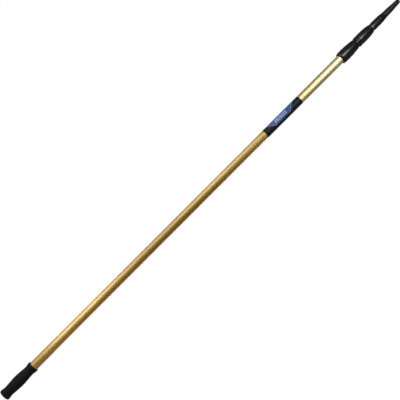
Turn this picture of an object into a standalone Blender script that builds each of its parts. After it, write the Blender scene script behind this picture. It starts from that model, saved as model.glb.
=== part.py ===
"""Telescopic extension pole for paint rollers: three round aluminium sections with two twist locks.

The pole stands upright on its butt end, which is centred on the origin, and is shown pushed
together. Every length below is in millimetres; the objects are made in metres. Each turned piece
is a (radius, height) outline swept round the Z axis, with heights measured from the object's own
origin, which lies on the axis that the piece slides and turns on.
"""
import math

import bmesh
import bpy
from mathutils import Matrix

MM = 0.001
SIDES = 36               # flats round a full turn of the big pieces
PIN_SIDES = 12           # flats round a rivet
MERGE = 0.00001          # merge distance of the screw modifiers, in metres
FIT = 0.25               # clearance between neighbouring surfaces
JOINT_GAP = 0.30         # axial gap between two faces that meet

# Tubes: outer radius and wall of each section, and where each tube starts and ends.
WALL = 1.0
OUTER_R, MIDDLE_R, INNER_R = 14.0, 12.5, 11.0
OUTER_TUBE = (3.3, 1496.5)
MIDDLE_TUBE = (62.3, 1567.0)
INNER_TUBE = (128.3, 1651.0)
STOP_BEAD_ABOVE_FOOT = 100.0
BEAD_LENGTH = 6.0

# Hand grip and butt cap.
BUTT_R, BUTT_THICK = 17.2, 3.0
GRIP_TOP = 120.5
GRIP_LIP_R = 17.3
GRIP_STATIONS = ((5.0, 17.55), (18.0, 15.6), (36.0, 16.75), (59.0, 18.05), (80.0, 17.0),
                 (101.5, 15.4), (114.0, GRIP_LIP_R))

# Printed label film round the top of the outer tube.
LABEL_SPAN = (1114.0, 1269.0)
LABEL_FILM = 0.25
LABEL_CLEAR = 0.10

# Twist locks: height of each collar's open mouth, and the outside of the collar above it.
LOCK_1_AT, LOCK_2_AT = 1455.9, 1531.0
COLLAR_1_TOP, COLLAR_2_TOP = 72.5, 67.0
COLLAR_1_MOUTH = ((17.75, 0.0), (18.2, 0.2), (19.2, 3.2))
COLLAR_1_STATIONS = ((4.6, 19.45), (13.5, 19.7), (31.5, 19.5), (48.5, 18.45), (61.5, 17.05),
                     (71.0, 15.6))
COLLAR_2_MOUTH = ((16.25, 0.0), (17.0, 0.4), (17.45, 1.6), (17.45, 6.6), (17.2, 7.2), (16.7, 7.6),
                  (16.7, 9.0))
COLLAR_2_STATIONS = ((10.0, 17.2), (22.0, 17.55), (38.0, 17.25), (51.5, 16.35), (60.0, 15.0),
                     (66.0, 13.7))
SKIRT_DEPTH = 15.0       # plain bore at the mouth of a collar, over the rivet heads
RIVET_ABOVE_MOUTH = 9.5
RIVET_R = 1.6
RIVET_HEAD_R, RIVET_HEAD = 2.6, 1.0

# Tip: moulded socket on the inner tube, and the tapered plug that takes the roller frame.
SOCKET_FOOT, SOCKET_TOP = 1599.7, 1656.0
SOCKET_R, SOCKET_NECK_R = 13.05, 12.75
TIP_TOP = 1726.0
TIP_RIVET_AT = 1622.0

GOLD = ("anodised_gold", (0.62, 0.45, 0.19), 0.32, 1.0)
PALE = ("anodised_pale_gold", (0.78, 0.66, 0.42), 0.34, 1.0)
GRIP = ("moulded_grip_black", (0.016, 0.016, 0.017), 0.75, 0.0)
BLACK = ("moulded_black", (0.018, 0.018, 0.020), 0.32, 0.0)
LABEL = ("label_film", (0.02, 0.03, 0.045), 0.35, 0.0)
NYLON = ("natural_nylon", (0.75, 0.73, 0.66), 0.5, 0.0)
STEEL = ("plated_steel", (0.6, 0.6, 0.6), 0.3, 1.0)


def clear_scene():
    """Remove every object of the open file."""
    for old in list(bpy.data.objects):
        bpy.data.objects.remove(old, do_unlink=True)


def make_collection(name):
    """Add a collection to the scene."""
    group = bpy.data.collections.new(name)
    bpy.context.scene.collection.children.link(group)
    return group


def make_material(finish):
    """Return the Principled material of one finish, made the first time it is asked for."""
    name, colour, roughness, metallic = finish
    if name in bpy.data.materials:
        return bpy.data.materials[name]
    material = bpy.data.materials.new(name)
    material.use_nodes = True
    shader = material.node_tree.nodes["Principled BSDF"]
    shader.inputs["Base Color"].default_value = (*colour, 1.0)
    shader.inputs["Roughness"].default_value = roughness
    shader.inputs["Metallic"].default_value = metallic
    return material


clear_scene()
POLE = make_collection("roller_extension_pole")
CUTTERS = make_collection("cutters")


def body_frame(name, parent=None):
    """Add the empty that carries one moving group; all of them sit on the pole's axis."""
    frame = bpy.data.objects.new(name, None)
    POLE.objects.link(frame)
    frame.parent = parent
    return frame


def curve_through(stations, steps):
    """Points of a smooth outline through (height, radius) stations, from the lowest up."""
    points = []
    last = len(stations) - 1
    for i in range(last):
        before, here = stations[max(i - 1, 0)], stations[i]
        there, after = stations[i + 1], stations[min(i + 2, last)]
        span = there[0] - here[0]
        slope_here = (there[1] - before[1]) / (there[0] - before[0])
        slope_there = (after[1] - here[1]) / (after[0] - here[0])
        for k in range(steps):
            t = k / steps
            rise = (2 * t**3 - 3 * t**2 + 1) * here[1] + (t**3 - 2 * t**2 + t) * span * slope_here
            rise += (3 * t**2 - 2 * t**3) * there[1] + (t**3 - t**2) * span * slope_there
            points.append((rise, here[0] + t * span))
    points.append((stations[-1][1], stations[-1][0]))
    return points


def turned(name, outline, finish, parent, height=0.0, closed=True, sides=SIDES):
    """Sweep an outline of (radius, height) points round Z.

    The outline runs down the outside. A closed one comes back up the bore; an open one starts and
    ends on the axis.
    """
    mesh = bpy.data.meshes.new(name)
    points = [(r * MM, 0.0, z * MM) for r, z in outline]
    edges = [(i, i + 1) for i in range(len(points) - 1)]
    if closed:
        edges.append((len(points) - 1, 0))
    mesh.from_pydata(points, edges, [])
    piece = bpy.data.objects.new(name, mesh)
    POLE.objects.link(piece)
    piece.parent = parent
    piece.location.z = height * MM
    screw = piece.modifiers.new("turn", "SCREW")
    screw.axis = "Z"
    screw.angle = math.tau
    screw.steps = screw.render_steps = sides
    screw.use_merge_vertices = True
    screw.merge_threshold = MERGE
    screw.use_smooth_shade = True
    mesh.materials.append(make_material(finish))
    return piece


def add_cutter(name, build):
    """Make a hidden wire object whose mesh is filled by build(bmesh)."""
    shape = bmesh.new()
    build(shape)
    mesh = bpy.data.meshes.new(name)
    shape.to_mesh(mesh)
    shape.free()
    cutter = bpy.data.objects.new(name, mesh)
    CUTTERS.objects.link(cutter)
    cutter.display_type = "WIRE"
    cutter.hide_render = True
    return cutter


def box_cutter(name, size, centre, turn):
    """A box cutter in millimetres, turned about Z by an angle in radians."""
    def build(shape):
        place = Matrix.Rotation(turn, 4, "Z") @ Matrix.Translation([c * MM for c in centre])
        scale = Matrix.Diagonal([s * MM for s in size] + [1.0])
        bmesh.ops.create_cube(shape, size=1.0, matrix=place @ scale)
    return add_cutter(name, build)


def hole_cutter(name, radius, near, far, height, turn):
    """A round cutter that runs outwards from the axis, from near to far, at one height."""
    def build(shape):
        lay = Matrix.Rotation(math.pi / 2, 4, "Y")
        place = Matrix.Translation(((near + far) / 2 * MM, 0.0, height * MM))
        bmesh.ops.create_cone(shape, cap_ends=True, segments=PIN_SIDES, radius1=radius * MM,
                              radius2=radius * MM, depth=(far - near) * MM,
                              matrix=Matrix.Rotation(turn, 4, "Z") @ place @ lay)
    return add_cutter(name, build)


def cut(piece, cutter):
    """Take a cutter away from a piece."""
    step = piece.modifiers.new("cut", "BOOLEAN")
    step.operation = "DIFFERENCE"
    step.solver = "EXACT"
    step.object = cutter


def rivet(name, parent, seat, tail, height, turn):
    """A rivet that stands on a wall of radius seat and ends inside at radius tail."""
    crown = [(0.0, RIVET_HEAD), (RIVET_HEAD_R * 0.7, RIVET_HEAD * 0.8),
             (RIVET_HEAD_R, 0.15), (RIVET_HEAD_R, 0.0)]
    end = tail - seat
    shank = [(RIVET_R, 0.0), (RIVET_R, end + 0.3), (RIVET_R - 0.3, end), (0.0, end)]
    pin = turned(name, crown + shank, STEEL, parent, height, closed=False, sides=PIN_SIDES)
    pin.rotation_euler = (0.0, math.pi / 2, turn)
    pin.location.x = seat * MM * math.cos(turn)
    pin.location.y = seat * MM * math.sin(turn)
    return pin


def tube(name, radius, span, finish, parent, bead=None):
    """A drawn tube, with an outward rolled bead where a bead radius is given."""
    length = span[1] - span[0]
    outside, inside = [(radius, length)], []
    if bead:
        middle = STOP_BEAD_ABOVE_FOOT
        swell = bead - radius
        shape = ((-BEAD_LENGTH / 2, 0.0), (-BEAD_LENGTH / 6, swell),
                 (BEAD_LENGTH / 6, swell), (BEAD_LENGTH / 2, 0.0))
        inside = [(radius - WALL + grow, middle + along) for along, grow in shape]
        outside += [(radius + grow, middle + along) for along, grow in reversed(shape)]
    outline = outside + [(radius, 0.0), (radius - WALL, 0.0)] + inside + [(radius - WALL, length)]
    return turned(name, outline, finish, parent, span[0])


def foot_plug(name, radius, tube_foot, parent):
    """Nylon plug in a tube's foot: a spigot up the bore and a grooved head below the tube."""
    head_r, core_r, spigot_r, vent_r = radius - 0.1, radius - 3.0, radius - WALL - FIT, 4.0
    groove_top, groove_foot, foot, top = -6.0, -32.0, -38.0, 24.0
    outline = [(spigot_r - 0.8, top), (spigot_r, top - 2.0), (spigot_r, 0.0), (head_r, 0.0),
               (head_r, groove_top), (core_r, groove_top), (core_r, groove_foot), (head_r, groove_foot),
               (head_r, foot + 1.0), (head_r - 1.0, foot), (vent_r, foot), (vent_r, top)]
    return turned(name, outline, NYLON, parent, tube_foot - JOINT_GAP)


def guide_ring(name, radius, tube_foot, parent):
    """Split nylon ring that rides in the foot plug's groove and runs in the bore outside it."""
    outer_r, bore_r = radius + 0.2, radius - 3.0 + FIT
    low, high = -32.0 + JOINT_GAP, -6.0 - JOINT_GAP
    outline = [(outer_r - 0.4, high), (outer_r, high - 1.0), (outer_r, low + 1.0), (outer_r - 0.4, low),
               (bore_r, low), (bore_r, high)]
    ring = turned(name, outline, NYLON, parent, tube_foot - JOINT_GAP)
    height = (low + high) / 2 + tube_foot - JOINT_GAP
    split = (8.0, 1.2, high - low + 4.0)
    cut(ring, box_cutter(name + "_split", split, (outer_r - 1.5, 0.0, height), math.pi / 4))
    return ring


def lock_body(name, tube_r, tube_top, mouth_at, parent):
    """Threaded sleeve riveted round the top of a tube, with a tapered seat above the tube."""
    bore_r, sleeve_r, thread_r, seat_r = tube_r + 0.15, tube_r + 1.2, tube_r + 1.75, tube_r + 0.7
    foot, root, crown = 3.0, 16.0, 46.0
    ledge = tube_top - mouth_at + JOINT_GAP
    outline = [(seat_r, crown), (thread_r - 0.5, crown), (thread_r, crown - 1.0), (thread_r, root + 0.6),
               (sleeve_r, root), (sleeve_r, foot + 0.5), (sleeve_r - 0.4, foot), (bore_r, foot), (bore_r, ledge),
               (tube_r - 0.9, ledge), (tube_r - 0.9, ledge + 0.8), (seat_r - 1.0, ledge + 0.8)]
    return turned(name, outline, BLACK, parent, mouth_at)


def collet(name, inner_r, mouth_at, nose_at, parent):
    """Split clamp sleeve with a taper at each end, slotted from both ends in turn."""
    bore_r, foot, waist = inner_r + FIT, 43.3, 46.0 + JOINT_GAP
    band_r, band_top, tail_r = inner_r + 2.75, 51.5, inner_r + 1.0
    outline = [(bore_r + 0.75, nose_at), (band_r, band_top), (band_r, waist), (inner_r + 1.9, waist),
               (tail_r, foot), (bore_r, foot), (bore_r, nose_at)]
    sleeve = turned(name, outline, NYLON, parent, mouth_at)
    slots = 6
    for i in range(slots):
        low, high = (foot - 2.0, nose_at - 3.5) if i % 2 else (foot + 2.5, nose_at + 2.0)
        centre = (inner_r + 2.0, 0.0, mouth_at + (low + high) / 2)
        size = (6.0, 1.0, high - low)
        cut(sleeve, box_cutter(f"{name}_slot_{i + 1}", size, centre, math.tau * i / slots))
    return sleeve


def twist_collar(name, tube_r, outside, top, mouth_at, parent):
    """Twist collar: an open skirt, a plain thread bore, a chamber for the collet and a narrow nose.

    tube_r is the radius of the tube that the collar's thread is fixed to; outside is the outer
    outline, from the mouth up.
    """
    thread_bore, skirt_bore = tube_r + 2.05, tube_r + 3.15
    chamber_top, taper_top, nose_bore = 52.0, top - 6.0, tube_r - 0.9
    bore = [(skirt_bore + 0.4, 0.0), (skirt_bore, 1.0), (skirt_bore, SKIRT_DEPTH - 1.0),
            (thread_bore, SKIRT_DEPTH), (thread_bore, chamber_top), (nose_bore + 0.35, taper_top),
            (nose_bore, taper_top + 0.5), (nose_bore, top)]
    return turned(name, list(reversed(outside)) + bore, BLACK, parent, mouth_at)


def make_handle(frame):
    """Fixed group: outer tube, butt cap, hand grip and label."""
    outer = tube("outer_tube", OUTER_R, OUTER_TUBE, GOLD, frame)

    plug_r = OUTER_R - WALL - FIT
    turned("butt_cap",
           [(0.0, 5.0), (plug_r - 2.4, 5.0), (plug_r - 2.4, 19.0), (plug_r - 0.8, 19.0), (plug_r, 17.5),
            (plug_r, BUTT_THICK), (BUTT_R, BUTT_THICK), (BUTT_R, 1.5), (BUTT_R - 0.45, 0.45),
            (BUTT_R - 1.5, 0.0), (0.0, 0.0)], BLACK, frame, closed=False)

    foot = BUTT_THICK + JOINT_GAP
    bore_r, lip = OUTER_R + FIT, 1.2
    outside = [(GRIP_STATIONS[0][1] - 0.9, foot)] + curve_through(GRIP_STATIONS, 3)
    outside += [(GRIP_LIP_R, GRIP_TOP - 2.2), (GRIP_LIP_R - 0.5, GRIP_TOP - 0.5),
                (GRIP_LIP_R - lip, GRIP_TOP)]
    mouth = [(bore_r, foot), (bore_r, GRIP_TOP - 9.0), (bore_r + 0.6, GRIP_TOP - 4.0),
             (GRIP_LIP_R - 1.7, GRIP_TOP - 0.6)]
    turned("hand_grip", list(reversed(outside)) + mouth, GRIP, frame)

    film_r = OUTER_R + LABEL_CLEAR
    length = LABEL_SPAN[1] - LABEL_SPAN[0]
    face_r = film_r + LABEL_FILM
    turned("label_band", [(face_r, length), (face_r, 0.0), (film_r, 0.0), (film_r, length)],
           LABEL, frame, LABEL_SPAN[0])
    return outer


def make_lock(number, outer, tube_r, inner_r, tube_top, mouth_at, outside, top, frame):
    """One twist lock: threaded body, its two rivets, the collet and the collar."""
    body = lock_body(f"lock_body_{number}", tube_r, tube_top, mouth_at, frame)
    height = mouth_at + RIVET_ABOVE_MOUTH
    for side, turn in (("right", 0.0), ("left", math.pi)):
        hole = hole_cutter(f"rivet_hole_{number}_{side}", RIVET_R + FIT, tube_r - 3.0, tube_r + 4.0,
                           height, turn)
        cut(body, hole)
        cut(outer, hole)
        rivet(f"lock_rivet_{number}_{side}", frame, tube_r + 1.3, inner_r + 0.35, height, turn)
    slide = body_frame(f"collet_{number}_slide", frame)
    collet(f"collet_{number}", inner_r, mouth_at, top - 7.5, slide)
    turn_axis = body_frame(f"collar_{number}_axis", slide)
    twist_collar(f"twist_collar_{number}", tube_r, outside, top, mouth_at, turn_axis)


def collar_outline(stations, top, mouth):
    """Outer outline of a collar from the mouth up, with a rounded edge at its nose."""
    nose_r = stations[-1][1]
    return list(mouth) + curve_through(stations, 3) + [(nose_r - 0.8, top - 0.2), (nose_r - 1.3, top)]


def make_tip(frame):
    """Tip group on the inner tube: moulded socket, tapered plug and the rivet through them."""
    tube_top = INNER_TUBE[1] - SOCKET_FOOT
    bore_r, rise = INNER_R + FIT, SOCKET_TOP - SOCKET_FOOT
    plug_r, step = INNER_R - WALL - FIT, 33.3
    socket = turned("tip_socket",
                    [(INNER_R, rise), (12.6, rise - 13.5), (SOCKET_NECK_R, rise - 16.0),
                     (SOCKET_NECK_R, step), (SOCKET_R, step - 0.6), (SOCKET_R, 6.6), (12.2, 0.4),
                     (11.9, 0.0), (bore_r, 0.0), (bore_r, tube_top + JOINT_GAP),
                     (plug_r + FIT, tube_top + JOINT_GAP), (plug_r + FIT, rise)],
                    BLACK, frame, SOCKET_FOOT)

    base = SOCKET_TOP + JOINT_GAP
    taper = [(TIP_TOP, 0.0), (TIP_TOP, 5.6), (TIP_TOP - 0.7, 6.9), (TIP_TOP - 2.4, 7.6), (1703.0, 8.55),
             (1699.5, 9.1), (1698.2, 9.1), (1697.6, 8.7), (1696.6, 8.7), (1696.0, 9.2), (1693.0, 9.3),
             (1692.4, 8.8), (1691.2, 8.8), (1690.6, 9.7), (1660.0, 10.6), (base, 10.75)]
    spigot_foot, core_top = 1614.0, 1704.0
    inside = [(plug_r, base), (plug_r, spigot_foot), (7.2, spigot_foot), (7.2, 1662.0),
              (5.2, core_top), (0.0, core_top)]
    outline = [(r, z - base) for z, r in taper] + [(r, z - base) for r, z in inside]
    tip = turned("tapered_tip", outline, BLACK, frame, base, closed=False)

    back = math.pi / 2
    hole = hole_cutter("tip_rivet_hole", RIVET_R + FIT, 5.0, 16.0, TIP_RIVET_AT, back)
    rivet("tip_rivet", frame, SOCKET_R + 0.1, 6.6, TIP_RIVET_AT, back)
    return socket, tip, hole


def build():
    """Assemble the pole, section by section, from the handle to the tip."""
    handle = body_frame("handle_section")
    outer = make_handle(handle)
    make_lock(1, outer, OUTER_R, MIDDLE_R, OUTER_TUBE[1], LOCK_1_AT,
              collar_outline(COLLAR_1_STATIONS, COLLAR_1_TOP, COLLAR_1_MOUTH), COLLAR_1_TOP, handle)

    middle_slide = body_frame("middle_slide", handle)
    guide_ring("middle_guide_ring", MIDDLE_R, MIDDLE_TUBE[0], middle_slide)
    middle = body_frame("middle_section", middle_slide)
    foot_plug("middle_foot_plug", MIDDLE_R, MIDDLE_TUBE[0], middle)
    middle_tube = tube("middle_tube", MIDDLE_R, MIDDLE_TUBE, PALE, middle, bead=OUTER_R - WALL - 0.15)
    make_lock(2, middle_tube, MIDDLE_R, INNER_R, MIDDLE_TUBE[1], LOCK_2_AT,
              collar_outline(COLLAR_2_STATIONS, COLLAR_2_TOP, COLLAR_2_MOUTH), COLLAR_2_TOP, middle)

    inner_slide = body_frame("inner_slide", middle)
    guide_ring("inner_guide_ring", INNER_R, INNER_TUBE[0], inner_slide)
    inner = body_frame("inner_section", inner_slide)
    foot_plug("inner_foot_plug", INNER_R, INNER_TUBE[0], inner)
    inner_tube = tube("inner_tube", INNER_R, INNER_TUBE, PALE, inner, bead=MIDDLE_R - WALL - 0.15)
    socket, tip, hole = make_tip(inner)
    for piece in (inner_tube, socket, tip):
        cut(piece, hole)


build()
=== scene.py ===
# %% [markdown]
# # A telescopic roller pole
#
# The pole has three aluminium tubes, one inside the next. Two black twist collars lock them, a
# black grip closes the bottom and a tapered plug at the top takes a paint roller frame. The CAD
# model is already right in size and in how it moves, so this lesson only makes it look right: it
# models the surfaces that show again, finer than the CAD has them, and gives every piece the
# finish that the real one has.

# %% Load the fixed frame
import math

import bpy
from mathutils import Matrix, Vector


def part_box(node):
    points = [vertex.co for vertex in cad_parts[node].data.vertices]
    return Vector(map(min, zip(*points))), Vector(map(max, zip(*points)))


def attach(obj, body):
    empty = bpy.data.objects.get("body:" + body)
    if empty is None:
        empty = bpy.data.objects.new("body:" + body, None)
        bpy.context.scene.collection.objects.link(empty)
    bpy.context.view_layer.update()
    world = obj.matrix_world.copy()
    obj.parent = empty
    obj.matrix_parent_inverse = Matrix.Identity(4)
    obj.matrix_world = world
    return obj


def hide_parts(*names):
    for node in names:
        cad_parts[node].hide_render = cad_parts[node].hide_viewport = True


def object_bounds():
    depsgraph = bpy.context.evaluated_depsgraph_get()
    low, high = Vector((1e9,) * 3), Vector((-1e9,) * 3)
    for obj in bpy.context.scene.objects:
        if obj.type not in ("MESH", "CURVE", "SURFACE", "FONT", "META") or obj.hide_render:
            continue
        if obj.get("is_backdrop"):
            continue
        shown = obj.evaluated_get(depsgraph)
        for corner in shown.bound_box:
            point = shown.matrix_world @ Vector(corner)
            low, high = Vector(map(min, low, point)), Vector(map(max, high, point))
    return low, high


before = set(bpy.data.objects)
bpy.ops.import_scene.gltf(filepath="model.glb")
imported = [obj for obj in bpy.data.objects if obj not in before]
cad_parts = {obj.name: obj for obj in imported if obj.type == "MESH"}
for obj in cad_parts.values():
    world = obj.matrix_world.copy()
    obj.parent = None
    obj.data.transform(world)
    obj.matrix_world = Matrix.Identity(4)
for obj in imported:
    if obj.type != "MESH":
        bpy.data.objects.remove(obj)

cad_low, cad_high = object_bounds()
print("CAD box, m:", [round(v, 4) for v in (*cad_low, *cad_high)])

# %% [markdown]
# ## Camera
#
# The camera comes first, because every later choice is judged through it. It stands to the front
# of the upright pole, a little below its middle, and looks up by five degrees, so the tip leans
# away. It is rolled by 45 degrees, which lays the pole from the lower left corner of the picture
# to the upper right one. A longer lens than usual keeps both ends in view without bending them.

# %% Camera
AIM_SHARE = 0.4779        # the camera looks at this share of the pole's height
CAMERA_DISTANCE = 2.077
STEP_RIGHT = 0.0008       # the camera stands this far to the right of the pole's axis, in metres
LOOK_UP = math.radians(5.0)
ROLL = math.radians(44.96)
LENS = 60.75

ahead = Vector((0.0, math.cos(LOOK_UP), math.sin(LOOK_UP)))
right = Vector((1.0, 0.0, 0.0))
up = right.cross(ahead)
rolled_right = right * math.cos(ROLL) + up * math.sin(ROLL)
rolled_up = up * math.cos(ROLL) - right * math.sin(ROLL)

bpy.ops.object.camera_add()
camera = bpy.context.object
camera.name = "camera"
camera.data.lens = LENS
turn = Matrix((rolled_right, rolled_up, -ahead)).transposed().to_4x4()
aim = Vector((STEP_RIGHT, 0, AIM_SHARE * (cad_high.z - cad_low.z)))
stand = aim - ahead * CAMERA_DISTANCE
camera.matrix_world = Matrix.Translation(stand) @ turn
bpy.context.scene.camera = camera
print("camera at", [round(v, 3) for v in camera.matrix_world.translation])

# %% [markdown]
# ## Working in millimetres
#
# Blender counts in metres, but a pole is drawn in millimetres. These helpers read a CAD piece's
# place in millimetres, and round the corners of an outline with short arcs, as a real moulding or
# a cut tube end has them. A sharp edge never catches the light, and a rounded one does.

# %% Helpers for sizes and outlines
MM = 0.001
SIDES = 96               # flats round a turned piece: enough for a smooth rim in a close view
FINE_SIDES = 128         # for the fattest pieces
RIVET_SIDES = 32


def span(node):
    """Foot, top and widest radius of a CAD node, in millimetres."""
    low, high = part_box(node)
    return low.z / MM, high.z / MM, max(high.x, high.y) / MM


def rounded(corners, steps=4):
    """Replace each (radius, height, fillet) corner by a short arc; a fillet of 0 stays sharp."""
    points = []
    for i, (r, z, fillet) in enumerate(corners):
        here = Vector((r, z))
        if not fillet or i in (0, len(corners) - 1):
            points.append((r, z))
            continue
        to_last = Vector(corners[i - 1][:2]) - here
        to_next = Vector(corners[i + 1][:2]) - here
        reach = min(fillet, to_last.length * 0.49, to_next.length * 0.49)
        start, end = here + to_last.normalized() * reach, here + to_next.normalized() * reach
        for k in range(steps + 1):
            t = k / steps
            points.append(tuple(start * (1 - t) ** 2 + here * 2 * t * (1 - t) + end * t ** 2))
    return points


def curve_through(stations, steps):
    """Points of a smooth outline through (height, radius) stations, from the lowest up."""
    points = []
    last = len(stations) - 1
    for i in range(last):
        before, here = stations[max(i - 1, 0)], stations[i]
        there, after = stations[i + 1], stations[min(i + 2, last)]
        gap = there[0] - here[0]
        slope_here = (there[1] - before[1]) / (there[0] - before[0])
        slope_there = (after[1] - here[1]) / (after[0] - here[0])
        for k in range(steps):
            t = k / steps
            r = (2 * t**3 - 3 * t**2 + 1) * here[1] + (t**3 - 2 * t**2 + t) * gap * slope_here
            r += (3 * t**2 - 2 * t**3) * there[1] + (t**3 - t**2) * gap * slope_there
            points.append((r, here[0] + t * gap))
    points.append((stations[-1][1], stations[-1][0]))
    return points


# %% [markdown]
# ## Turning a piece
#
# Nearly every piece of a pole is round, so one helper does what a lathe does. It starts from a
# circle primitive at the first point of the outline, extrudes the ring to the next height and
# resizes it to the next radius, and goes on round the outline until it meets itself. Merging the
# doubles closes the seam, or the pole where an outline starts or ends on the axis. A Screw
# modifier could do the same in one step; extruding shows each ring as it is made.

# %% The lathe
ON_AXIS = 0.001          # a point on the axis is a ring of this radius until it is merged, in mm
MERGE_WITHIN = 0.005     # points nearer than this become one, in mm
SHARP_OVER = 28.0        # a fold of more degrees than this keeps a sharp edge


def deselect_all():
    """Clear the object selection, so that the next operator acts only on what it is given."""
    bpy.ops.object.select_all(action="DESELECT")


def turned(name, outline, sides=SIDES):
    """Turn an outline of (radius, height) millimetre points into a closed piece."""
    closed = outline if outline[-1][0] == 0.0 else outline + [outline[0]]
    rings = [(max(r, ON_AXIS), z) for r, z in closed]
    r, z = rings[0]
    deselect_all()
    bpy.ops.mesh.primitive_circle_add(vertices=sides, radius=r * MM, location=(0, 0, z * MM))
    piece = bpy.context.object
    piece.name = piece.data.name = name
    bpy.ops.object.transform_apply(location=True, rotation=True, scale=True)
    bpy.ops.object.mode_set(mode="EDIT")
    bpy.ops.mesh.select_all(action="SELECT")
    for next_r, next_z in rings[1:]:
        grow = next_r / r
        bpy.ops.mesh.extrude_region_move(TRANSFORM_OT_translate={"value": (0, 0, (next_z - z) * MM)})
        bpy.ops.transform.resize(value=(grow, grow, 1.0), center_override=(0, 0, next_z * MM))
        r, z = next_r, next_z
    bpy.ops.mesh.select_all(action="SELECT")
    bpy.ops.mesh.remove_doubles(threshold=MERGE_WITHIN * MM)
    bpy.ops.mesh.normals_make_consistent(inside=False)
    bpy.ops.object.mode_set(mode="OBJECT")
    bpy.ops.object.shade_smooth_by_angle(angle=math.radians(SHARP_OVER))
    print(f"{name}: {len(piece.data.polygons)} faces, {len(outline)} outline points")
    return piece


def stands_for(piece, body, slot, *nodes):
    """Let a finished piece ride on its body, in place of the CAD nodes it stands for."""
    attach(piece, body)
    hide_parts(*nodes)


# %% [markdown]
# ## The three tubes
#
# Each tube is drawn through a die, so it is straight and even, and its ends are sawn and lightly
# deburred. The middle and inner tubes also have a rolled bead near the foot, which stops them from
# pulling right out. A tube's wall is 1 mm: the outline goes down the outside and up the bore.

# %% Tubes
OUTER_R, MIDDLE_R, INNER_R = 14.0, 12.5, 11.0
WALL = 1.0
BEAD_ABOVE_FOOT, BEAD_HALF = 100.0, 3.0
BURR = 0.25              # the deburred edge of a sawn tube


def drawn_tube(name, node, radius):
    """A drawn tube as long as its CAD node; a node wider than the tube has a rolled bead."""
    foot, top, widest = span(node)
    bore, swell, bead = radius - WALL, widest - radius, []
    if swell > 0.05:
        middle = foot + BEAD_ABOVE_FOOT
        waves = [math.pi * (k / 8 - 1) for k in range(17)]
        bead = [(swell * (1 + math.cos(w)) / 2, middle + BEAD_HALF * w / math.pi) for w in waves]
    outline = [(radius - BURR, top), (radius, top - BURR)]
    outline += [(radius + grow, z) for grow, z in reversed(bead)]
    outline += [(radius, foot + BURR), (radius - BURR, foot), (bore + BURR, foot), (bore, foot + BURR)]
    outline += [(bore + grow, z) for grow, z in bead]
    outline += [(bore, top - BURR), (bore + BURR, top)]
    return turned(name, outline)


outer_tube = drawn_tube("gold_outer_tube", "outer_tube", OUTER_R)
middle_tube = drawn_tube("drawn_middle_tube", "middle_tube", MIDDLE_R)
inner_tube = drawn_tube("drawn_inner_tube", "inner_tube", INNER_R)
stands_for(outer_tube, "handle_section", "gold_tube", "outer_tube")
stands_for(middle_tube, "middle_section", "pale_tube", "middle_tube")
stands_for(inner_tube, "inner_section", "pale_tube", "inner_tube")

# %% [markdown]
# ## Hand grip and butt cap
#
# The grip is a soft moulded sleeve pushed onto the tube: a swell for the palm, a waist, and a
# flared mouth that stands off the tube. The swell and the waist are one smooth curve through a few
# stations. The butt cap is a hard plug below it. Its flange covers the end of the grip and the
# tube, and its underside has the shallow dish and the gate mark that a moulding has.

# %% Hand grip
grip_foot, grip_top, _ = span("hand_grip")
FOOT_R, LIP_R, GRIP_BORE = 17.55, 17.3, 14.25
GRIP_STATIONS = ((5.0, FOOT_R), (18.0, 15.6), (36.0, 16.75), (59.0, 18.05), (80.0, 17.0),
                 (101.5, 15.4), (114.0, LIP_R))      # height above the pole's foot, and radius

grip_outside = [
    (FOOT_R - 0.95, grip_foot, 0.0), (FOOT_R - 0.15, grip_foot, 0.5), (FOOT_R, grip_foot + 1.2, 0.4)]
grip_lip = [
    (LIP_R + 0.05, grip_top - 3.4, 1.2), (LIP_R, grip_top - 0.6, 1.4), (LIP_R - 1.0, grip_top, 0.7),
    (LIP_R - 1.9, grip_top - 0.9, 0.7), (GRIP_BORE + 0.7, grip_top - 4.5, 3.0),
    (GRIP_BORE, grip_top - 9.0, 3.0), (GRIP_BORE, grip_foot, 0.0)]
grip_outline = rounded(grip_outside) + curve_through(GRIP_STATIONS, 8) + rounded(grip_lip)[1:]
hand_grip = turned("moulded_hand_grip", list(reversed(grip_outline)), sides=FINE_SIDES)
stands_for(hand_grip, "handle_section", "grip_rubber", "hand_grip")

# %% Butt cap
cap_foot, cap_top, cap_r = span("butt_cap")
FLANGE, PLUG_FLOOR = 3.0, 5.0            # heights of the flange and of the hollow's floor
PLUG_R, PLUG_BORE = 12.75, 10.35
DISH_R, DISH_DEEP = 12.6, 0.8
GATE_R, GATE_DEEP = 2.8, 0.35            # the gate mark stands up in the dish, but not out of it
cap_outline = rounded([
    (0.0, cap_foot + PLUG_FLOOR, 0.0), (PLUG_BORE, cap_foot + PLUG_FLOOR, 0.8), (PLUG_BORE, cap_top, 0.3),
    (PLUG_R - 0.6, cap_top, 0.3), (PLUG_R, cap_top - 1.5, 0.5), (PLUG_R, cap_foot + FLANGE, 0.2),
    (cap_r, cap_foot + FLANGE, 0.35), (cap_r, cap_foot, 1.3), (DISH_R + 0.6, cap_foot, 0.4),
    (DISH_R, cap_foot + DISH_DEEP, 0.4), (GATE_R + 0.4, cap_foot + DISH_DEEP, 0.3),
    (GATE_R, cap_foot + GATE_DEEP, 0.3), (0.0, cap_foot + GATE_DEEP, 0.0)])
butt_cap = turned("moulded_butt_cap", cap_outline)
stands_for(butt_cap, "handle_section", "black_moulding", "butt_cap")

# %% [markdown]
# ## Label
#
# The label is a printed film wrapped once round the tube, so it is a sleeve a quarter of a
# millimetre thick with soft edges. The print is a material, made further down.

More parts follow.
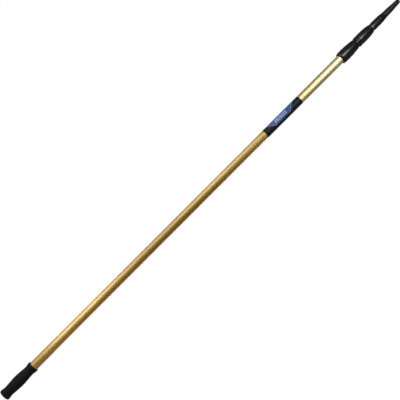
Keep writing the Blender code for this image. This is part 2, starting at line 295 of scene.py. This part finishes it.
# %% Label
label_foot, label_top, label_r = span("label_band")
FILM, SOFT_EDGE = 0.25, 0.3
EDGE_R = label_r - 0.08
label_outline = rounded([
    (EDGE_R, label_top, 0.0), (label_r, label_top - SOFT_EDGE, 0.2), (label_r, label_foot + SOFT_EDGE, 0.2),
    (EDGE_R, label_foot, 0.0), (label_r - FILM, label_foot, 0.0), (label_r - FILM, label_top, 0.0)])
label = turned("printed_label", label_outline)
stands_for(label, "handle_section", "label_film", "label_band")

# %% [markdown]
# ## Twist collars
#
# A collar is a glossy bell. Its open mouth faces the handle and clears the rivets of the sleeve
# inside; above that it narrows in one smooth curve to a nose that fits the next tube. The second
# collar is smaller and has a bead and a groove round its mouth. The bore is stepped: skirt, thread,
# chamber for the clamp sleeve, and nose.

# %% Twist collars
# A bell's stations are (height, radius) and a mouth's corners are (radius, height, fillet), with
# heights counted from the collar's mouth.
BELL_1 = ((4.6, 19.45), (13.5, 19.7), (31.5, 19.5), (48.5, 18.45), (61.5, 17.05), (71.0, 15.6))
BELL_2 = ((10.0, 17.2), (22.0, 17.55), (38.0, 17.25), (51.5, 16.35), (60.0, 15.0), (66.0, 13.7))
MOUTH_1 = ((17.75, 0.0, 0.0), (18.15, 0.0, 0.15), (19.3, 3.8, 1.4))
MOUTH_2 = ((16.05, 0.0, 0.0), (17.0, 0.0, 0.6), (17.45, 1.6, 0.8), (17.45, 6.9, 0.5), (16.75, 7.5, 0.3),
           (16.75, 8.9, 0.3), (17.15, 9.5, 0.3))
NOSE_BORE, THREAD_BORE, SKIRT_BORE = -0.9, 2.05, 3.15    # against the tube that the collar is over
SKIRT_TOP, THREAD_FOOT, THREAD_TOP = 14.0, 15.0, 52.0
NOSE_LONG = 5.5


def bell(name, node, tube_r, mouth, stations):
    """A twist collar; tube_r is the radius of the tube that it is screwed over."""
    foot, top, _ = span(node)
    length = top - foot
    nose_high, nose_r = stations[-1]
    nose_bore, thread_r, skirt_r = tube_r + NOSE_BORE, tube_r + THREAD_BORE, tube_r + SKIRT_BORE
    outside = rounded(list(mouth) + [(stations[0][1], stations[0][0], 0.0)])[:-1]
    outside += curve_through(stations, 8)
    inside = rounded([
        (nose_r, nose_high, 0.0), (nose_r - 0.45, length, 1.1), (nose_bore, length, 0.5),
        (nose_bore, length - NOSE_LONG, 0.3), (nose_bore + 0.35, length - NOSE_LONG - 0.5, 0.3),
        (thread_r, THREAD_TOP, 1.0), (thread_r, THREAD_FOOT, 0.5), (skirt_r, SKIRT_TOP, 0.5),
        (skirt_r, 1.0, 0.8), (mouth[0][0], 0.0, 0.0)])
    outline = outside + inside[1:-1]
    return turned(name, [(r, foot + z) for r, z in reversed(outline)], sides=FINE_SIDES)


collar_1 = bell("glossy_collar_1", "twist_collar_1", OUTER_R, MOUTH_1, BELL_1)
collar_2 = bell("glossy_collar_2", "twist_collar_2", MIDDLE_R, MOUTH_2, BELL_2)
stands_for(collar_1, "collar_1", "black_moulding", "twist_collar_1")
stands_for(collar_2, "collar_2", "black_moulding", "twist_collar_2")

# %% [markdown]
# ## Tip
#
# The socket is a moulded sleeve over the end of the inner tube, with a chamfer round its foot and
# a cone to the plug. The plug tapers so that any roller frame's handle wedges onto it, and has two
# grooves near the end and fine turned rings below them, which stop a handle from creeping off.

# %% Tip socket
socket_foot, socket_top, socket_r = span("tip_socket")
SOCKET_BORE, PLUG_HOLE = 11.25, 10.0
NECK_R, NECK_ABOVE_FOOT = 12.75, 33.3
CHAMFER_R, CHAMFER_HIGH = 12.2, 6.6
TUBE_BELOW_TOP = 4.7     # the inner tube ends this far below the socket's top
neck, seat = socket_foot + NECK_ABOVE_FOOT, socket_top - TUBE_BELOW_TOP
socket_outline = rounded([
    (11.0, socket_top, 0.0), (12.6, socket_top - 13.5, 3.0), (NECK_R, socket_top - 16.0, 2.0),
    (NECK_R, neck, 0.2), (socket_r, neck - 0.6, 0.25), (socket_r, socket_foot + CHAMFER_HIGH, 0.5),
    (12.95, socket_foot + 5.9, 0.0), (12.28, socket_foot + 1.0, 0.0), (CHAMFER_R, socket_foot + 0.4, 0.1),
    (CHAMFER_R - 0.3, socket_foot, 0.1), (SOCKET_BORE, socket_foot, 0.0), (SOCKET_BORE, seat, 0.0),
    (PLUG_HOLE, seat, 0.0), (PLUG_HOLE, socket_top, 0.0)])
socket = turned("moulded_tip_socket", socket_outline)
stands_for(socket, "inner_section", "black_moulding", "tip_socket")

# %% Tapered plug
plug_foot, plug_top, _ = span("tapered_tip")
plug_base = socket_top + 0.3
SPIGOT_R, TAPER_R = 9.75, 10.6           # in the socket, and at the thick end of the taper
RINGS, RING_DEPTH, RING_POINTS = 5, 0.12, 6
HOLLOW_R, HOLLOW_END_R = 7.2, 5.2
HOLLOW_NARROWS, HOLLOW_END = plug_top - 64.0, plug_top - 22.0
ring_low, ring_high = plug_base + 4.0, plug_top - 37.0
rings = []
for k in range(RINGS * RING_POINTS + 1):
    share = k / (RINGS * RING_POINTS)
    height = ring_high + (ring_low - ring_high) * share
    taper_r = SPIGOT_R + (TAPER_R - SPIGOT_R) * share
    rings.append((taper_r - RING_DEPTH * (1 - math.cos(math.tau * k / RING_POINTS)) / 2, height))
plug_outline = [(0.0, plug_top - 0.5), (1.4, plug_top - 0.5), (1.7, plug_top)]     # a gate dimple
plug_outline += rounded([
    (5.2, plug_top, 0.0), (6.9, plug_top, 1.4), (7.65, plug_top - 2.6, 1.2), (8.55, plug_top - 23.0, 1.0),
    (9.1, plug_top - 26.5, 0.8), (9.1, plug_top - 27.8, 0.3), (8.7, plug_top - 28.4, 0.3),
    (8.7, plug_top - 29.4, 0.3), (9.25, plug_top - 30.0, 0.3), (9.3, plug_top - 33.0, 0.3),
    (8.8, plug_top - 33.6, 0.3), (8.8, plug_top - 34.8, 0.3), (9.7, plug_top - 35.4, 0.3),
    (9.74, ring_high + 0.4, 0.0)])
plug_outline += rings
plug_outline += rounded([
    (10.7, plug_base + 1.0, 0.0), (10.75, plug_base, 0.3), (SPIGOT_R, plug_base, 0.0),
    (SPIGOT_R, plug_foot, 0.3), (HOLLOW_R, plug_foot, 0.3), (HOLLOW_R, HOLLOW_NARROWS, 0.0),
    (HOLLOW_END_R, HOLLOW_END, 1.0), (0.0, HOLLOW_END, 0.0)])
tapered_tip = turned("moulded_tapered_tip", plug_outline)
stands_for(tapered_tip, "inner_section", "black_moulding", "tapered_tip")

# %% [markdown]
# ## Rivets
#
# Each lock sleeve is held to its tube by two rivets, and a longer one at the back holds the tip.
# The short rivet is turned once, upright like everything else, and copied with its own mesh for
# each place. A copy is laid on its side in its CAD node's box, and the move is applied so that its
# object ends at the origin.

# %% Rivets
HEAD_R, HEAD_HIGH, SHANK_R = 2.6, 1.0, 1.6


def domed_rivet(name, length):
    """An upright rivet with its middle on the origin and a domed head on top."""
    top, foot = length / 2, -length / 2
    seat = top - HEAD_HIGH
    outline = rounded([
        (0.0, top, 0.0), (1.3, top, 0.9), (HEAD_R - 0.15, seat + 0.25, 0.5), (HEAD_R, seat, 0.15),
        (SHANK_R, seat, 0.0), (SHANK_R, foot + 0.2, 0.15), (SHANK_R - 0.25, foot, 0.1), (0.0, foot, 0.0)])
    return turned(name, outline, sides=RIVET_SIDES)


def set_rivet(pattern, node, body, outwards):
    """Copy a rivet into its CAD node's box, with its head outwards."""
    low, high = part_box(node)
    deselect_all()
    pattern.select_set(True)
    bpy.context.view_layer.objects.active = pattern
    bpy.ops.object.duplicate(linked=False)
    piece = bpy.context.object
    piece.name = piece.data.name = f"domed_{node}"
    laid = outwards.to_track_quat("Z", "Y").to_matrix().to_4x4()
    piece.matrix_world = Matrix.Translation((low + high) / 2) @ laid
    bpy.ops.object.transform_apply(location=True, rotation=True, scale=True)
    stands_for(piece, body, "plated_steel", node)
    print(f"{piece.name} at", [round(v, 4) for v in (low + high) / 2])
    return piece


low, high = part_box("lock_rivet_1_right")
short_rivet = domed_rivet("short_rivet", (high.x - low.x) / MM)
low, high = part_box("tip_rivet")
long_rivet = domed_rivet("long_rivet", (high.y - low.y) / MM)
rivets = [set_rivet(long_rivet, "tip_rivet", "inner_section", Vector((0.0, 1.0, 0.0)))]
for number, body in ((1, "handle_section"), (2, "middle_section")):
    for side, way in (("right", 1.0), ("left", -1.0)):
        node = f"lock_rivet_{number}_{side}"
        rivets.append(set_rivet(short_rivet, node, body, Vector((way, 0.0, 0.0))))
for pattern in (short_rivet, long_rivet):
    bpy.data.objects.remove(pattern, do_unlink=True)

# %% [markdown]
# ## Building a finish
#
# A finish is a few nodes, so one small function adds a node with its settings and its links. The
# colours are sRGB hex values, as a colour card gives them, turned to the linear values that the
# shader needs. Patterns read Object coordinates, which are metres here: a noise of scale 1000 has
# features of about a millimetre, and one of scale 100 has features of about a centimetre.

# %% Material helpers
def linear(hex_colour):
    """Linear RGBA of an sRGB hex colour such as #F1D697."""
    parts = [int(hex_colour[i:i + 2], 16) / 255 for i in (1, 3, 5)]
    return (*[p / 12.92 if p <= 0.04045 else ((p + 0.055) / 1.055) ** 2.4 for p in parts], 1.0)


def add_node(tree, kind, inputs=None, **settings):
    """Add a shader node; inputs maps a socket's name or number to a value or to an output."""
    node = tree.nodes.new("ShaderNode" + kind)
    for name, value in settings.items():
        setattr(node, name, value)
    for socket, value in (inputs or {}).items():
        if isinstance(value, bpy.types.NodeSocket):
            tree.links.new(value, node.inputs[socket])
        else:
            node.inputs[socket].default_value = value
    return node


def new_material(name, **shader_values):
    """An empty material with a Principled shader; returns material, node tree and shader."""
    material = bpy.data.materials.new(name)
    material.use_nodes = True
    tree = material.node_tree
    shader = tree.nodes["Principled BSDF"]
    for socket, value in shader_values.items():
        shader.inputs[socket.replace("_", " ")].default_value = value
    return material, tree, shader


def finish_of(piece, material):
    """Give every face of a piece one material."""
    if not piece.data.materials:
        piece.data.materials.append(material)
    for i in range(len(piece.data.materials)):
        piece.data.materials[i] = material


# %% [markdown]
# ## Anodised aluminium
#
# The tubes are drawn aluminium with an anodised skin: gold on the outer tube, natural on the inner
# ones. Drawing leaves fine lines along the tube, about 0.4 mm apart, and the skin's colour drifts a
# little every 20 mm or so. The lines are a noise squeezed across the tube and stretched along it.
# Lines this fine also spread a highlight round the tube but not along it, so the metal is
# anisotropic, with its tangent round the Z axis. The eye reads a satin metal with a long highlight.
# The skin is clear oxide, so a coat over the colour gives it a little white gloss. From the label
# up to the first collar the gold pales: that paler colour is painted light, standing in for the
# strong light that the top boxes throw on that part of the tube.

# %% Anodised aluminium
DRAW_LINES, LINE_STRETCH = 2500.0, 0.004     # noise scale for lines 0.4 mm apart, 250 times as long
SKIN_DRIFT, DRIFT_STRETCH = 45.0, 0.25       # noise scale for patches of 22 mm, 4 times as long
COLLAR_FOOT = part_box("twist_collar_1")[0].z


def drawn_aluminium(name, bright, deep, painted_light_top, roughness):
    """Satin anodised tube: draw lines, colour drifting from bright to deep, and a painted-light paler top."""
    material, tree, shader = new_material(name, Metallic=1.0, Anisotropic=0.8, Coat_Weight=1.0,
                                          Coat_Roughness=0.2)
    round_tube = add_node(tree, "Tangent", direction_type="RADIAL", axis="Z")
    tree.links.new(round_tube.outputs[0], shader.inputs["Tangent"])
    place = add_node(tree, "TexCoord").outputs["Object"]
    along = add_node(tree, "Mapping", {"Vector": place, "Scale": (1.0, 1.0, LINE_STRETCH)})
    lines = add_node(tree, "TexNoise", {"Vector": along.outputs[0], "Scale": DRAW_LINES, "Detail": 3.0,
                                        "Roughness": 0.6})
    patches = add_node(tree, "Mapping", {"Vector": place, "Scale": (1.0, 1.0, DRIFT_STRETCH)})
    drift = add_node(tree, "TexNoise", {"Vector": patches.outputs[0], "Scale": SKIN_DRIFT, "Detail": 4.0,
                                        "Roughness": 0.55})
    share = add_node(tree, "MapRange", {"Value": drift.outputs["Fac"], "From Min": 0.35, "From Max": 0.7})
    colour = add_node(tree, "Mix", {0: share.outputs[0], 6: linear(bright), 7: linear(deep)},
                      data_type="RGBA")
    axes = add_node(tree, "SeparateXYZ", {0: place})
    # Painted light: from the label's foot to the first collar the colour pales towards the painted light top
    # colour, standing in for the light from above.
    painted_light_share = add_node(tree, "MapRange", {"Value": axes.outputs["Z"], "From Min": label_foot * MM,
                                           "From Max": COLLAR_FOOT})
    colour_with_painted_top = add_node(tree, "Mix", {0: painted_light_share.outputs[0], 6: colour.outputs[2], 7: linear(painted_light_top)},
                     data_type="RGBA")
    line_share = add_node(tree, "MapRange", {"Value": lines.outputs["Fac"], "To Min": 0.90, "To Max": 1.06})
    lined = add_node(tree, "Mix", {0: 1.0, 6: colour_with_painted_top.outputs[2], 7: line_share.outputs[0]}, data_type="RGBA",
                     blend_type="MULTIPLY")
    tree.links.new(lined.outputs[2], shader.inputs["Base Color"])
    rough = add_node(tree, "MapRange", {"Value": drift.outputs["Fac"], "To Min": roughness - 0.06,
                                        "To Max": roughness + 0.08})
    tree.links.new(rough.outputs[0], shader.inputs["Roughness"])
    bump = add_node(tree, "Bump", {"Height": lines.outputs["Fac"], "Strength": 0.05, "Distance": 0.0001})
    tree.links.new(bump.outputs[0], shader.inputs["Normal"])
    return material


# The third colour is painted light: a paler top that stands in for the strong light from the boxes above.
gold_anodised = drawn_aluminium("gold_anodised_aluminium", "#F3CF72", "#E8BE66", "#F1E1AA", 0.38)
natural_anodised = drawn_aluminium("natural_anodised_aluminium", "#DDDFE3", "#CBCED3", "#DDDFE3", 0.36)
finish_of(outer_tube, gold_anodised)
finish_of(middle_tube, natural_anodised)
finish_of(inner_tube, natural_anodised)

# %% [markdown]
# ## Black mouldings
#
# The grip is a soft black rubber-like plastic with a pebble grain of 0.7 mm and dust in patches of
# 8 mm: it hardly shines at all. The collars and the socket are hard ABS from a polished mould:
# almost as dark, but with a clear highlight and a faint ripple, 11 mm long, from shrinking. Use
# leaves hair scratches that run round the piece, 4 mm long and 0.3 mm apart. The tapered plug, the
# butt cap and the lock sleeves are the same plastic from a satin mould.

# %% Grip rubber
grip_rubber, tree, shader = new_material("moulded_grip_rubber", IOR=1.5, Specular_IOR_Level=0.3)
place = add_node(tree, "TexCoord").outputs["Object"]
grain = add_node(tree, "TexVoronoi", {"Vector": place, "Scale": 1400.0}, feature="SMOOTH_F1")
dust = add_node(tree, "TexNoise", {"Vector": place, "Scale": 120.0, "Detail": 6.0, "Roughness": 0.6})
share = add_node(tree, "MapRange", {"Value": dust.outputs["Fac"], "From Min": 0.4, "From Max": 0.75})
colour = add_node(tree, "Mix", {0: share.outputs[0], 6: linear("#11100E"), 7: linear("#1A1916")},
                  data_type="RGBA")
tree.links.new(colour.outputs[2], shader.inputs["Base Color"])
rough = add_node(tree, "MapRange", {"Value": dust.outputs["Fac"], "To Min": 0.6, "To Max": 0.85})
tree.links.new(rough.outputs[0], shader.inputs["Roughness"])
bump = add_node(tree, "Bump", {"Height": grain.outputs["Distance"], "Strength": 0.35, "Distance": 0.0003})
tree.links.new(bump.outputs[0], shader.inputs["Normal"])
finish_of(hand_grip, grip_rubber)


# %% Black ABS
def black_abs(name, roughness):
    """Hard black moulded plastic with shrink ripple, hair scratches and a little dust."""
    material, tree, shader = new_material(name, IOR=1.55)
    place = add_node(tree, "TexCoord").outputs["Object"]
    ripple = add_node(tree, "TexNoise", {"Vector": place, "Scale": 90.0, "Detail": 1.0})
    squeeze = add_node(tree, "Mapping", {"Vector": place, "Rotation": (0.3, 0.2, 0.0),
                                         "Scale": (1.0, 1.0, 14.0)})
    hairs = add_node(tree, "TexNoise", {"Vector": squeeze.outputs[0], "Scale": 260.0, "Detail": 8.0,
                                        "Roughness": 0.75})
    scratch = add_node(tree, "MapRange", {"Value": hairs.outputs["Fac"], "From Min": 0.55, "From Max": 0.8})
    colour = add_node(tree, "Mix", {0: scratch.outputs[0], 6: linear("#171613"), 7: linear("#24231F")},
                      data_type="RGBA")
    tree.links.new(colour.outputs[2], shader.inputs["Base Color"])
    rough = add_node(tree, "MapRange", {"Value": hairs.outputs["Fac"], "From Min": 0.3, "From Max": 0.8,
                                        "To Min": roughness - 0.04, "To Max": roughness + 0.12})
    tree.links.new(rough.outputs[0], shader.inputs["Roughness"])
    bump = add_node(tree, "Bump", {"Height": ripple.outputs["Fac"], "Strength": 0.12, "Distance": 0.0008})
    tree.links.new(bump.outputs[0], shader.inputs["Normal"])
    return material


polished_abs = black_abs("polished_black_abs", 0.18)
satin_abs = black_abs("satin_black_abs", 0.30)
for piece in (collar_1, collar_2, socket):
    finish_of(piece, polished_abs)
for piece in (tapered_tip, butt_cap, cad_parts["lock_body_1"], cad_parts["lock_body_2"]):
    finish_of(piece, satin_abs)

# %% [markdown]
# ## Label print
#
# The film is printed in near-black, warmer at its ends, with a blue panel. The panel's ends are
# slanted and edged by a thin light line, and its right side stops short of the middle of the
# tube's right half. A row of plain slanted bars stands for the print on it. The pattern reads two
# numbers for each point: how far round the tube it is, as an arc in millimetres from the front, and
# how high above the label's foot. Every edge in it is one straight line in those two numbers.
# Handling has worn the ink a little, in patches of 3 mm.

# %% Label print: where a point is on the film
label_print, tree, shader = new_material("printed_label_film", Roughness=0.42, IOR=1.49,
                                         Specular_IOR_Level=0.25)
place = add_node(tree, "TexCoord").outputs["Object"]
axes = add_node(tree, "SeparateXYZ", {0: place})
front = add_node(tree, "Math", {0: axes.outputs["Y"], 1: -1.0}, operation="MULTIPLY")
angle = add_node(tree, "Math", {0: axes.outputs["X"], 1: front.outputs[0]}, operation="ARCTAN2")
arc = add_node(tree, "Math", {0: angle.outputs[0], 1: label_r}, operation="MULTIPLY").outputs[0]
rise = add_node(tree, "Math", {0: axes.outputs["Z"], 1: label_foot * MM}, operation="SUBTRACT")
height = add_node(tree, "Math", {0: rise.outputs[0], 1: 1 / MM}, operation="MULTIPLY").outputs[0]


# %% Label print: panel and its edge lines
def between(value, low, high, inside=1.0):
    """1 where low < value < high and the mask inside is 1 as well, and 0 elsewhere."""
    above = add_node(tree, "Math", {0: value, 1: low}, operation="GREATER_THAN")
    below = add_node(tree, "Math", {0: value, 1: high}, operation="LESS_THAN")
    strip = add_node(tree, "Math", {0: above.outputs[0], 1: below.outputs[0]}, operation="MULTIPLY")
    return add_node(tree, "Math", {0: strip.outputs[0], 1: inside}, operation="MULTIPLY").outputs[0]


PANEL_LEFT, PANEL_RIGHT = -26.0, 5.8         # arcs from the front
PANEL_LOW, PANEL_HIGH = 35.4, 111.5          # heights at the front
SLANT = 1.22             # millimetres of height for each millimetre round the tube
LINE_MM = 2.6
FAR = 1000.0             # beyond any height on the film
falling = add_node(tree, "Math", {0: arc, 1: -SLANT, 2: height}, operation="MULTIPLY_ADD").outputs[0]
rising = add_node(tree, "Math", {0: arc, 1: SLANT, 2: height}, operation="MULTIPLY_ADD").outputs[0]
panel = between(arc, PANEL_LEFT, PANEL_RIGHT)
panel = between(falling, PANEL_LOW, FAR, panel)
panel = between(rising, -FAR, PANEL_HIGH, panel)
low_line = between(falling, PANEL_LOW, PANEL_LOW + LINE_MM, panel)
high_line = between(rising, PANEL_HIGH - LINE_MM, PANEL_HIGH, panel)
edge_lines = add_node(tree, "Math", {0: low_line, 1: high_line}, operation="MAXIMUM").outputs[0]

# %% Label print: bars
BAR_COUNT, BAR_PITCH, BAR_WIDE = 7, 7.2, 4.0
BAR_FIRST, BAR_LEAN = 46.0, 0.22
BARS_LEFT, BARS_RIGHT = -12.0, 0.6
leaning = add_node(tree, "Math", {0: arc, 1: BAR_LEAN, 2: height}, operation="MULTIPLY_ADD").outputs[0]
bar_side = between(arc, BARS_LEFT, BARS_RIGHT)
bars = 0.0
for k in range(BAR_COUNT):
    start = BAR_FIRST + k * BAR_PITCH
    bar = between(leaning, start, start + BAR_WIDE, bar_side)
    bars = add_node(tree, "Math", {0: bars, 1: bar}, operation="MAXIMUM").outputs[0]

# %% Label print: colours
BODY_LOW, BODY_HIGH = 7.0, 148.0             # the film's ends beyond these are a warmer black
BLUE_LOW, BLUE_HIGH = 22.0, 96.0             # the panel's blue deepens between these
body = between(height, BODY_LOW, BODY_HIGH)
black = add_node(tree, "Mix", {0: body, 6: linear("#1D1F12"), 7: linear("#15272C")}, data_type="RGBA")
along = add_node(tree, "MapRange", {"Value": height, "From Min": BLUE_LOW, "From Max": BLUE_HIGH})
blue = add_node(tree, "Mix", {0: along.outputs[0], 6: linear("#5F70A2"), 7: linear("#426C9E")},
                data_type="RGBA")
base = add_node(tree, "Mix", {0: panel, 6: black.outputs[2], 7: blue.outputs[2]}, data_type="RGBA")
edged = add_node(tree, "Mix", {0: edge_lines, 6: base.outputs[2], 7: linear("#9DB9DE")}, data_type="RGBA")
barred = add_node(tree, "Mix", {0: bars, 6: edged.outputs[2], 7: linear("#B4C8EA")}, data_type="RGBA")
wear = add_node(tree, "TexNoise", {"Vector": place, "Scale": 300.0, "Detail": 6.0, "Roughness": 0.7})
worn = add_node(tree, "MapRange", {"Value": wear.outputs["Fac"], "From Min": 0.3, "From Max": 0.7,
                                   "To Min": 0.88, "To Max": 1.05})
printed = add_node(tree, "Mix", {0: 1.0, 6: barred.outputs[2], 7: worn.outputs[0]}, data_type="RGBA",
                   blend_type="MULTIPLY")
tree.links.new(printed.outputs[2], shader.inputs["Base Color"])
bump = add_node(tree, "Bump", {"Height": wear.outputs["Fac"], "Strength": 0.05, "Distance": 0.0003})
tree.links.new(bump.outputs[0], shader.inputs["Normal"])
finish_of(label, label_print)

# %% [markdown]
# ## Nylon and plated steel
#
# The clamp sleeves, foot plugs and guide rings are natural nylon: off-white, waxy and slightly
# see-through, so light goes a little way in, with clouds of 6 mm. They and the lock sleeves keep
# their CAD shapes and only get a finish. The rivets are zinc-plated steel with a fine crystal
# mottle, half a millimetre across.

# %% Nylon
natural_nylon, tree, shader = new_material("natural_nylon", IOR=1.53, Subsurface_Weight=0.25,
                                           Subsurface_Scale=0.002)
place = add_node(tree, "TexCoord").outputs["Object"]
cloud = add_node(tree, "TexNoise", {"Vector": place, "Scale": 180.0, "Detail": 5.0})
colour = add_node(tree, "Mix", {0: cloud.outputs["Fac"], 6: linear("#E4E0D2"), 7: linear("#CFCAB9")},
                  data_type="RGBA")
tree.links.new(colour.outputs[2], shader.inputs["Base Color"])
rough = add_node(tree, "MapRange", {"Value": cloud.outputs["Fac"], "To Min": 0.38, "To Max": 0.6})
tree.links.new(rough.outputs[0], shader.inputs["Roughness"])
bump = add_node(tree, "Bump", {"Height": cloud.outputs["Fac"], "Strength": 0.08, "Distance": 0.0003})
tree.links.new(bump.outputs[0], shader.inputs["Normal"])
for node in ("collet_1", "collet_2", "middle_foot_plug", "middle_guide_ring", "inner_foot_plug",
             "inner_guide_ring"):
    finish_of(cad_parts[node], natural_nylon)

# %% Zinc-plated steel
zinc_plated, tree, shader = new_material("zinc_plated_steel", Metallic=1.0)
place = add_node(tree, "TexCoord").outputs["Object"]
crystals = add_node(tree, "TexVoronoi", {"Vector": place, "Scale": 1800.0})
colour = add_node(tree, "Mix", {0: crystals.outputs["Distance"], 6: linear("#C9CBCD"), 7: linear("#A9ADB1")},
                  data_type="RGBA")
tree.links.new(colour.outputs[2], shader.inputs["Base Color"])
rough = add_node(tree, "MapRange", {"Value": crystals.outputs["Distance"], "To Min": 0.22, "To Max": 0.42})
tree.links.new(rough.outputs[0], shader.inputs["Roughness"])
for piece in rivets:
    finish_of(piece, zinc_plated)

# %% [markdown]
# ## Floor, backdrop and light
#
# The pole is shown on plain white. The floor is a small pale disc under the butt, so that it
# doesn't shine up into the metal. A metal tube looks like what it mirrors, so the light is ten soft
# boxes with dim surroundings between them:
#
# - three at the left, one above the other, give the long cool highlight of the outer tube, which is
#   strongest near the butt;
# - a bright one inside a wide one, with a dim one over them, stand above the camera and light the
#   label, the collars and the tip;
# - two behind and two high up keep the far side and the drawn-out sections from looking flat.
#
# The world is white where the camera sees it. For everything else it is a dim room, warm at eye
# level, paler and neutral above, pale and warm below, and darker overhead.

# %% Floor
FLOOR_R, FLOOR_DROP = 0.45, 0.0005           # metres; the drop keeps the butt off the disc
deselect_all()
bpy.ops.mesh.primitive_circle_add(vertices=FINE_SIDES, radius=FLOOR_R, fill_type="NGON",
                                  location=(0, 0, -FLOOR_DROP))
floor = bpy.context.object
floor.name = "pale_floor"
floor_paint, tree, shader = new_material("pale_floor", Roughness=0.9)
place = add_node(tree, "TexCoord").outputs["Object"]
speckle = add_node(tree, "TexNoise", {"Vector": place, "Scale": 60.0})
colour = add_node(tree, "Mix", {0: speckle.outputs["Fac"], 6: linear("#C9C9C7"), 7: linear("#C3C3C1")},
                  data_type="RGBA")
tree.links.new(colour.outputs[2], shader.inputs["Base Color"])
glow = add_node(tree, "Emission", {"Color": (1.0, 1.0, 1.0, 1.0), "Strength": 1.0})
seen = add_node(tree, "LightPath").outputs["Is Camera Ray"]
shown = add_node(tree, "MixShader", {0: seen, 1: shader.outputs[0], 2: glow.outputs[0]})
tree.links.new(shown.outputs[0], tree.nodes["Material Output"].inputs["Surface"])
finish_of(floor, floor_paint)
floor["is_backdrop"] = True


# %% Lights
COOL, NEUTRAL = (1.0, 1.06, 1.38), (1.0, 1.0, 1.05)


def soft_box(name, azimuth, distance, height, wide, tall, radiance, colour):
    """A rectangular light that faces the pole's axis; azimuth is in degrees from the camera's side."""
    turn = math.radians(azimuth)
    place = Vector((distance * math.sin(turn), -distance * math.cos(turn), height))
    bpy.ops.object.light_add(type="AREA", location=place)
    box = bpy.context.object
    box.name = name
    box.data.shape = "RECTANGLE"
    box.data.size, box.data.size_y = wide, tall
    box.data.energy = radiance * math.pi * wide * tall
    box.data.color = colour
    inwards = Vector((-place.x, -place.y, 0.0))
    box.rotation_mode = "QUATERNION"
    box.rotation_quaternion = inwards.to_track_quat("-Z", "Y")
    return box


soft_box("left_long_box", -57.0, 1.6, 0.60, 1.9, 1.70, 0.84, COOL)
soft_box("left_low_box", -57.0, 1.55, 0.10, 1.9, 0.50, 0.95, COOL)
soft_box("left_high_box", -57.0, 1.55, 1.20, 1.9, 0.60, 0.38, COOL)
soft_box("top_core_box", -8.0, 2.2, 2.19, 0.9, 0.64, 5.6, NEUTRAL)
soft_box("top_wide_box", -15.0, 2.25, 2.18, 2.8, 0.66, 1.45, NEUTRAL)
soft_box("top_high_box", -7.0, 2.25, 2.90, 1.4, 0.70, 0.4, NEUTRAL)
soft_box("back_right_box", 138.0, 1.6, 0.80, 0.8, 1.9, 1.8, NEUTRAL)
soft_box("back_left_box", -152.0, 1.6, 0.80, 0.5, 1.9, 1.6, COOL)
soft_box("back_high_box", 145.0, 1.6, 3.70, 1.1, 2.1, 2.0, NEUTRAL)
soft_box("front_high_box", -35.0, 1.8, 4.10, 1.1, 1.2, 2.0, NEUTRAL)

# %% World
WHITE = (1.0, 1.0, 1.0, 1.0)
EYE_LEVEL, RAISED = (0.105, 0.070, 0.032, 1.0), (0.20, 0.205, 0.22, 1.0)
REAR, GROUND = (0.18, 0.15, 0.12, 1.0), (0.27, 0.22, 0.15, 1.0)
OVERHEAD = 0.35          # the world's strength overhead, against 1 lower down

world = bpy.data.worlds.new("studio")
bpy.context.scene.world = world
world.use_nodes = True
tree = world.node_tree
tree.nodes.clear()
ray = add_node(tree, "LightPath")
way = add_node(tree, "SeparateXYZ", {0: add_node(tree, "TexCoord").outputs["Generated"]})
above = add_node(tree, "MapRange", {"Value": way.outputs["Z"], "From Min": 0.18, "From Max": 0.34})
below = add_node(tree, "MapRange", {"Value": way.outputs["Z"], "From Min": -0.02, "From Max": -0.25})
behind = add_node(tree, "MapRange", {"Value": way.outputs["Y"], "From Min": 0.0, "From Max": 0.8})
front = add_node(tree, "Mix", {0: above.outputs[0], 6: EYE_LEVEL, 7: RAISED}, data_type="RGBA")
room = add_node(tree, "Mix", {0: behind.outputs[0], 6: front.outputs[2], 7: REAR}, data_type="RGBA")
ground = add_node(tree, "Mix", {0: below.outputs[0], 6: room.outputs[2], 7: GROUND}, data_type="RGBA")
fade = add_node(tree, "MapRange", {"Value": way.outputs["Z"], "From Min": 0.42, "From Max": 0.6,
                                   "To Min": 1.0, "To Max": OVERHEAD})
dim = add_node(tree, "Background", {0: ground.outputs[2], 1: fade.outputs[0]})
white = add_node(tree, "Background", {0: WHITE, 1: 1.0})
mixed = add_node(tree, "MixShader", {0: ray.outputs["Is Camera Ray"], 1: dim.outputs[0], 2: white.outputs[0]})
add_node(tree, "OutputWorld", {0: mixed.outputs[0]})
bpy.context.scene.view_settings.view_transform = "Standard"

# %% Sizes
low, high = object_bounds()
print("shown box, m:", [round(v, 4) for v in (*low, *high)])
